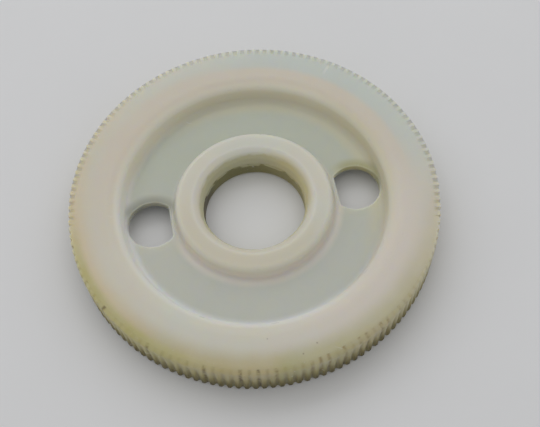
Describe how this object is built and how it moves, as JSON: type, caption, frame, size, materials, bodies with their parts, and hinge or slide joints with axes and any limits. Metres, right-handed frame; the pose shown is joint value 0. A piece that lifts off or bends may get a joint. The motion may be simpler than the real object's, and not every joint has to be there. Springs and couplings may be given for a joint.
{
  "type": "spur gear",
  "caption": "Thin plastic spur gear with fine straight teeth, a recessed web, a raised round hub, a plain bore and two opposed D-shaped drive holes.",
  "frame": {"origin": "on the gear's axis, at its flat underside", "axes": "+Z along the gear's axis towards the face with the deeper recess; the two drive holes lie on X, and a tooth is centred on +X"},
  "size_m": [0.0852, 0.0852, 0.01],
  "materials": {
    "nylon": "natural ivory nylon, satin, slightly translucent, a little yellowed and worn"
  },
  "bodies": {
    "root": {"spur_gear": "nylon"}
  },
  "joints": []
}
